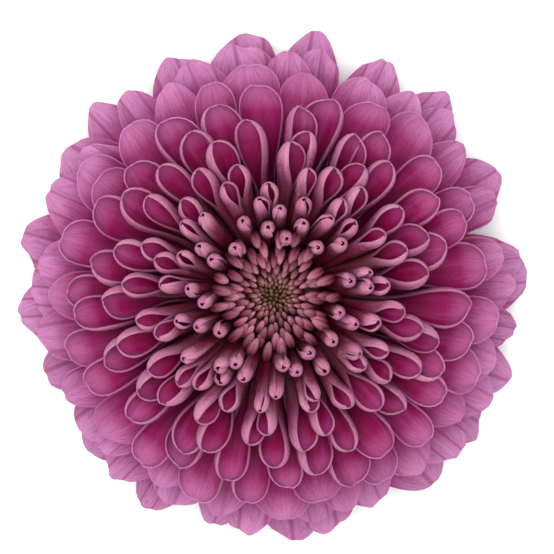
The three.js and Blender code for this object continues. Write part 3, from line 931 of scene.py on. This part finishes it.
@dataclass
class RayFlorets:
    """The open florets, a whorl at a time.

    Of a floret's facets, the claw takes the share claw_rows, and the tip the rest.
    """

    thickness: float = 0.3
    claw_rows: float = 0.4
    covers_from: float = 0.1
    samples: tuple[int, int] = (72, 34)
    softenings: int = 2
    hem_ages: Pair = (0.6, 0.9)
    grain_step: float = 7.3
    canopy: Canopy = field(default_factory=Canopy)

    def pressed(self, flat: Array, points: Array) -> Array:
        """Presses a floret's points down under the florets that lie on it, with a soft bend round the place.

        Args:
            flat: the points' places in the blank sheet.
            points: the points themselves.

        Returns:
            The pressed points.
        """
        in_row = int((flat[:, 1] < flat[:, 1].min() + 1e-6).sum())
        order = np.lexsort((flat[:, 0], flat[:, 1])).reshape(-1, in_row)
        down = self.canopy.press(points)[order]
        for _ in range(self.softenings):
            wide = np.pad(down, 1, mode="edge")
            around = wide[:-2, 1:-1] + wide[2:, 1:-1] + wide[1:-1, :-2] + wide[1:-1, 2:]
            down = np.maximum(down, around / 4)
        pressed = points.copy()
        pressed[order.ravel(), 2] = np.maximum(points[order.ravel(), 2] - down.ravel(), LOWEST)
        return pressed

    def shape(self, mesh: Mesh, floret: Floret) -> None:
        """Rolls a blank sheet into a floret.

        Args:
            mesh: the blank's mesh.
            floret: the floret's sizes.
        """
        flat = places(mesh)
        x, y = 1 - 2 * flat[:, 0], flat[:, 1]
        v = (x + np.sin(math.pi / 2 * x)) / 2
        t = np.clip((y - self.claw_rows) / (1 - self.claw_rows), 0, 1)
        limb = mix(floret.tip_start, 1, (1 - np.cos(math.pi * t)) / 2)
        u = np.where(t > 0, limb, floret.tip_start * y / self.claw_rows)
        set_places(mesh, self.pressed(flat, floret.points(u, v)))
        starts = (self.covers_from, -1)
        along, across = np.meshgrid(*[np.linspace(low, 1, n) for low, n in zip(starts, self.samples)])
        self.canopy.cover(floret.points(along.ravel(), across.ravel()))
        length = np.linalg.norm(floret.path[-1] - floret.path[0])
        own = self.grain_step * floret.k
        set_attribute(mesh, "fold", floret.folds(u, v), own, smooth(floret.age, *self.hem_ages))
        set_attribute(mesh, "sheet", v, u, floret.age)
        set_attribute(mesh, "grain", v * floret.half_width, u * length, own)

    def build(self) -> None:
        """Builds the four whorls, the youngest first."""
        florets = [BLOOM.floret(n) for n in range(SPIRAL.opened)]
        finishes = [face.build() for face in (PETAL_INSIDE, PETAL_OUTSIDE, PETAL_MARGIN)]
        youngest = 0.0
        for whorl in Whorl:
            name, oldest, rows, columns = whorl.value
            members = [floret for floret in florets if youngest <= floret.age < oldest]
            youngest = oldest
            blank = blank_sheet(rows, columns)
            piece = copies_joined(blank, name, len(members), lambda mesh, i: self.shape(mesh, members[i]))
            dress(piece, *finishes)
            apply_modifier(
                piece, "SOLIDIFY", thickness=self.thickness * MM, offset=0, material_offset=1,
                material_offset_rim=2,
            )
            declare(piece, "ray_florets")


@dataclass
class Bud:
    """One closed bud: the path of its midline, half its width, its direction and where it is in the eye."""

    k: int
    share: float
    path: Array
    half_width: float
    angle: float


@dataclass
class Eye:
    """The dome of closed young florets in the middle of the bloom.

    Its rim buds are half open ones that stand between the innermost quills.
    """

    radius: float = 12.8
    height: float = 5.7
    crest: float = 5.2
    crest_fall: float = 0.8
    crowding: float = 0.66
    sides: int = 10
    pleats: int = 5
    pleat: float = 0.16
    sway: float = 0.35
    grains: int = 66
    grain_share: float = 0.43
    quills_near: int = 20
    quill_room: float = math.radians(6.0)
    room: float = math.radians(11.0)
    rim_radius: float = 13.0
    rim_height: float = 11.8
    rim_lean: float = 3.2
    rim_length: float = 6.4
    rim_shoulder: float = 1.9
    rim_half_width: float = 1.2
    profile: Profile = (
        (0.0, 0.4), (0.25, 0.62), (0.5, 0.9), (0.7, 1.0), (0.85, 0.82), (0.95, 0.48), (1.0, 0.05),
    )
    dome: Profile = ((0.0, 8.4), (5.2, 10.2), (7.4, 9.2), (7.0, 6.6), (5.2, 3.2), (4.0, 0.4))
    dome_sides: int = 32

    def shares(self) -> list[float]:
        """Finds where the buds stand. The middle holds more and smaller ones, the grains, than the rest does.

        Returns:
            Their shares of the way from the middle of the eye to its edge.
        """
        grains = [self.grain_share * ((i + 0.5) / self.grains) ** 0.56 for i in range(self.grains)]
        buds = [((k + 0.5) / SPIRAL.young) ** self.crowding for k in range(SPIRAL.young)]
        return grains + [share for share in buds if share > self.grain_share + 0.02]

    def gaps(self) -> list[float]:
        """Finds where the innermost quills leave room for one more bud.

        Returns:
            The directions of those places, in radians.
        """
        quills = [SPIRAL.angle(SPIRAL.young + n, Stray.ANGLE) for n in range(self.quills_near)]
        chosen: list[float] = []
        for turn in (math.radians(degrees) for degrees in range(0, 360, 2)):
            spaces = [(other, self.quill_room) for other in quills] + [(other, self.room) for other in chosen]
            if all(abs(math.remainder(turn - other, math.tau)) > space for other, space in spaces):
                chosen.append(turn)
        return chosen

    def dome_bud(self, k: int, share: float) -> Bud:
        """Leans a bud over the middle of the eye.

        Args:
            k: its number on the spiral.
            share: its share of the way from the middle of the eye to its edge.

        Returns:
            The bud.
        """
        radius = self.radius * share**0.95 + mix(0.14, 0.5, share) * SPIRAL.draw(k, BudStray.RADIUS)
        crest = self.crest * smooth(share, 0, 0.8) - self.crest_fall * smooth(share, 0.8, 1)
        tip = EYE_BASE + self.height + crest + mix(0.2, 0.7, share) * SPIRAL.draw(k, BudStray.TIP)
        length = mix(2.4, 5.2, share)
        half_width = (0.42 + 0.66 * share + 0.14 * share**4) * (1 + 0.16 * SPIRAL.draw(k, BudStray.WIDTH))
        path = np.array([
            [0.8 * radius + 0.9, tip - length],
            [1.02 * radius + 0.7, tip - 0.3 * length],
            [0.66 * radius - 0.15, tip],
        ])
        return Bud(k, share, path, half_width, SPIRAL.angle(k, BudStray.ANGLE))

    def rim_bud(self, k: int, turn: float) -> Bud:
        """Stands a bud up between the innermost quills.

        Args:
            k: its number.
            turn: the direction in which it stands, in radians.

        Returns:
            The bud.
        """
        radius = self.rim_radius + 0.6 * SPIRAL.draw(k, BudStray.RADIUS)
        tip = EYE_BASE + self.rim_height + 0.9 * SPIRAL.draw(k, BudStray.TIP)
        lean = self.rim_lean + 0.9 * SPIRAL.draw(k, BudStray.LEAN)
        half_width = self.rim_half_width + 0.14 * SPIRAL.draw(k, BudStray.WIDTH)
        path = np.array([
            [radius - 0.4, tip - self.rim_length],
            [radius + 1.7, tip - self.rim_shoulder],
            [radius - lean, tip],
        ])
        return Bud(k, 1.0, path, half_width, turn)

    def bend(self, mesh: Mesh, bud: Bud) -> None:
        """Bends a straight bud along its path and pleats it.

        Args:
            mesh: the bud's mesh, of unit height and radius.
            bud: its sizes.
        """
        straight = places(mesh)
        u = straight[:, 2]
        around = np.arctan2(straight[:, 1], straight[:, 0])
        pleated = 1 - self.pleat * (0.5 + 0.5 * np.cos(self.pleats * around))
        inwards, side = (straight[:, :2] * pleated[:, None] * bud.half_width).T
        side = side + self.sway * bud.share * SPIRAL.draw(bud.k, BudStray.SWAY) * u * u
        set_places(mesh, set_off(bud.path, u, -inwards, side, bud.angle))
        set_attribute(mesh, "sheet", around, u, bud.share)
        tone = np.full_like(u, SPIRAL.draw(bud.k, BudStray.TONE))
        set_attribute(mesh, "tone", tone, tone, tone)

    def build(self) -> None:
        """Builds the young florets and the dome under them."""
        buds = [self.dome_bud(k, share) for k, share in enumerate(self.shares())]
        buds += [self.rim_bud(k, turn) for k, turn in enumerate(self.gaps(), len(buds))]
        blank = blank_tube("bud", self.sides, self.profile, pointed=True)
        piece = copies_joined(blank, "young_buds", len(buds), lambda mesh, i: self.bend(mesh, buds[i]))
        dress(piece, BudSkin().build())
        declare(piece, "young_florets")
        profile = tuple((EYE_BASE + height, radius) for height, radius in self.dome)
        dome = blank_tube("young_dome", self.dome_sides, profile, pointed=True)
        set_places(dome.data, places(dome.data))
        # The flesh that the buds stand in: so deep in their shade that it looks almost black.
        dress(dome, PlantSkin("bud_bed", dark="20040a", light="38060e", streak=0.8).build())
        declare(dome, "young_florets")


@dataclass
class Receptacle:
    """The low dome of pith that carries the florets, hidden among them."""

    sides: int = 40
    profile: Profile = ((19.3, 12.6), (20.6, 14.4), (23.5, 15.0), (26.0, 13.6), (26.9, 9.5))

    def build(self) -> None:
        """Builds the receptacle."""
        dome = blank_tube("receptacle", self.sides, self.profile)
        set_places(dome.data, places(dome.data))
        # Soft pith, a dull wine red where it shows between the claws.
        dress(dome, PlantSkin("receptacle_pith", dark="4a0f2c", light="6a2a44", streak=1.2).build())
        declare(dome, "ray_florets")


@dataclass
class Involucre:
    """The cup under the head, and its three rows of bracts."""

    rows: int = 3
    per_row: int = 13
    foot: Pair = (4.6, 12.2)
    row_step: Pair = (1.7, 0.75)
    bract_reach: float = 6.3
    bract_rises: Pair = (1.1, 0.4)
    bract_lift: float = 2.2
    bract_half_width: float = 1.95
    hollow: float = 0.32
    bract_thickness: float = 0.4
    facets: tuple[int, int] = (10, 6)
    sides: int = 40
    profile: Profile = ((STEM_TOP + 0.3, 3.9), (13.0, 6.2), (14.4, 8.9), (17.2, 12.3), (18.9, 12.6))

    def bract(self, mesh: Mesh, i: int) -> None:
        """Shapes a blank sheet into bract i.

        Args:
            mesh: the blank's mesh.
            i: its number, from the lowest row.
        """
        row, place = divmod(i, self.per_row)
        angle = (place + row / self.rows) / self.per_row * math.tau
        flat = places(mesh)
        v, u = 1 - 2 * flat[:, 0], flat[:, 1]
        half = self.bract_half_width * np.sin(math.pi * np.clip(0.16 + 0.84 * u, 0, 1)) ** 0.7 + 0.12
        foot = np.array(self.foot) + np.array(self.row_step) * row
        reach, rise = self.bract_reach, self.bract_rises[0] + self.bract_rises[1] * row
        path = foot + np.array([[0, 0], [reach / 2, rise / 2], [reach, rise + self.bract_lift]])
        points = set_off(path, u, np.zeros_like(u), half * v, angle)
        points[:, 2] += self.hollow * v * v * (1 - 0.5 * u) - 0.12 * (1 - np.abs(v))
        set_places(mesh, points)
        set_attribute(mesh, "sheet", v, u, row / self.rows)

    def build(self) -> None:
        """Builds the cup and the bracts."""
        cup = blank_tube("involucre_cup", self.sides, self.profile)
        set_places(cup.data, places(cup.data))
        # Firm green skin, matt and faintly streaked.
        dress(cup, PlantSkin("involucre_skin", dark="4b6330", light="6f8a48", streak=0.7).build())
        declare(cup, "involucre")
        bracts = copies_joined(blank_sheet(*self.facets), "bracts", self.rows * self.per_row, self.bract)
        apply_modifier(bracts, "SOLIDIFY", thickness=self.bract_thickness * MM, offset=0)
        # Leathery bracts: the same green, with finer streaks and a straw-brown papery edge.
        skin = PlantSkin("bract_skin", dark="46602c", light="6c8846", streak=0.5, margin="b49c72")
        dress(bracts, skin.build())
        declare(bracts, "involucre")


@dataclass
class Stem:
    """The cut length of ribbed stalk."""

    ribs: int = 8
    sides_per_rib: int = 8
    groove: float = 0.08
    profile: Profile = ((0.0, 3.5), (3.5, 3.42), (7.0, 3.4), (10.5, 3.7), (STEM_TOP, 4.28))

    def build(self) -> None:
        """Builds the stalk."""
        stalk = blank_tube("stalk", self.ribs * self.sides_per_rib, self.profile)
        points = places(stalk.data)
        around = np.arctan2(points[:, 1], points[:, 0])
        points[:, :2] *= (1 - self.groove * (0.5 - 0.5 * np.cos(self.ribs * around)))[:, None]
        set_places(stalk.data, points)
        # Tough green skin with a dull shine, and the soft, pale, wet pith of a clean cut.
        skin = PlantSkin("stalk_skin", dark="5f8038", light="86a35a", streak=1.1)
        pith = PlantSkin("stalk_pith", dark="a8b47c", light="d6dcb2", streak=0.5)
        dress(stalk, skin.build(), pith.build())
        declare(stalk, "stem")
        for face in stalk.data.polygons:
            face.material_index = int(face.normal.z < -0.9)


@dataclass
class Studio:
    """A pale floor, soft daylight and a camera that looks down on the bloom as the photograph does.

    The floor, and the lights' places, sizes and the point that they face, are in metres, and their power in
    watts.
    """

    lens: float = 150.0
    sensor: float = 36.0
    width_seen: float = 121.9
    target: Triple = (0.8, 2.9, 10.0)
    azimuth: float = 180.0
    elevation: float = 86.5
    floor: float = 3.0
    sky: float = 0.44
    lit: Triple = (0.0, 0.0, 0.02)
    key: Triple = (-0.04, 0.05, 0.62)
    key_power: Pair = (5.6, 0.55)
    fill_turns: tuple[float, ...] = (35.0, 155.0, 275.0)
    fill_place: Pair = (0.5, 0.2)
    fill_power: Pair = (0.6, 0.5)

    def build(self) -> None:
        """Builds the floor, the lights and the camera."""
        deselect()
        bpy.ops.mesh.primitive_plane_add(size=self.floor, location=(0, 0, 0))
        floor = bpy.context.object
        floor.name = "floor"
        # Matt white board: it throws soft light back up under the hem, and shows no gloss or colour.
        material, add = new_finish("white_table")
        add(SHADER, {"Base Color": "fcfcfc", "Roughness": 0.9})
        floor.data.materials.append(material)

        world = bpy.data.worlds.new("studio")
        bpy.context.scene.world = world
        world.use_nodes = True
        sky = world.node_tree.nodes["Background"]
        sky.inputs["Color"].default_value = (1, 1, 1, 1)
        sky.inputs["Strength"].default_value = self.sky
        away, above = self.fill_place
        lights = [("key", self.key, *self.key_power)]
        for i, turn in enumerate(map(math.radians, self.fill_turns)):
            place = (away * math.cos(turn), away * math.sin(turn), above)
            lights.append((f"fill_{i}", place, *self.fill_power))
        for name, place, watts, size in lights:
            lamp = bpy.data.lights.new(name, "AREA")
            lamp.energy, lamp.size = watts, size
            holder = bpy.data.objects.new(name, lamp)
            holder.location = place
            facing = (Vector(self.lit) - holder.location).to_track_quat("-Z", "Y")
            holder.rotation_euler = facing.to_euler()
            bpy.context.collection.objects.link(holder)

        azimuth, elevation = math.radians(self.azimuth), math.radians(self.elevation)
        out = math.cos(elevation)
        back = Vector((math.sin(azimuth) * out, -math.cos(azimuth) * out, math.sin(elevation)))
        camera = bpy.data.objects.new("camera", bpy.data.cameras.new("camera"))
        bpy.context.collection.objects.link(camera)
        camera.data.lens = self.lens
        camera.data.sensor_width = self.sensor
        distance = self.width_seen * MM * self.lens / self.sensor
        camera.location = Vector(self.target) * MM + back * distance
        camera.rotation_mode = "QUATERNION"
        camera.rotation_quaternion = (-back).to_track_quat("-Z", "Y") @ Quaternion((0, 0, 1), math.pi)
        bpy.context.scene.camera = camera
        bpy.context.scene.view_settings.view_transform = "Standard"


def main() -> None:
    """Builds the flower's parts and their studio in order."""
    logging.basicConfig(level=logging.INFO, format="%(message)s")
    for part in (RayFlorets(), Receptacle(), Eye(), Involucre(), Stem(), Studio()):
        part.build()
        LOG.info("%s: done", type(part).__name__)


if __name__ == "__main__":
    main()
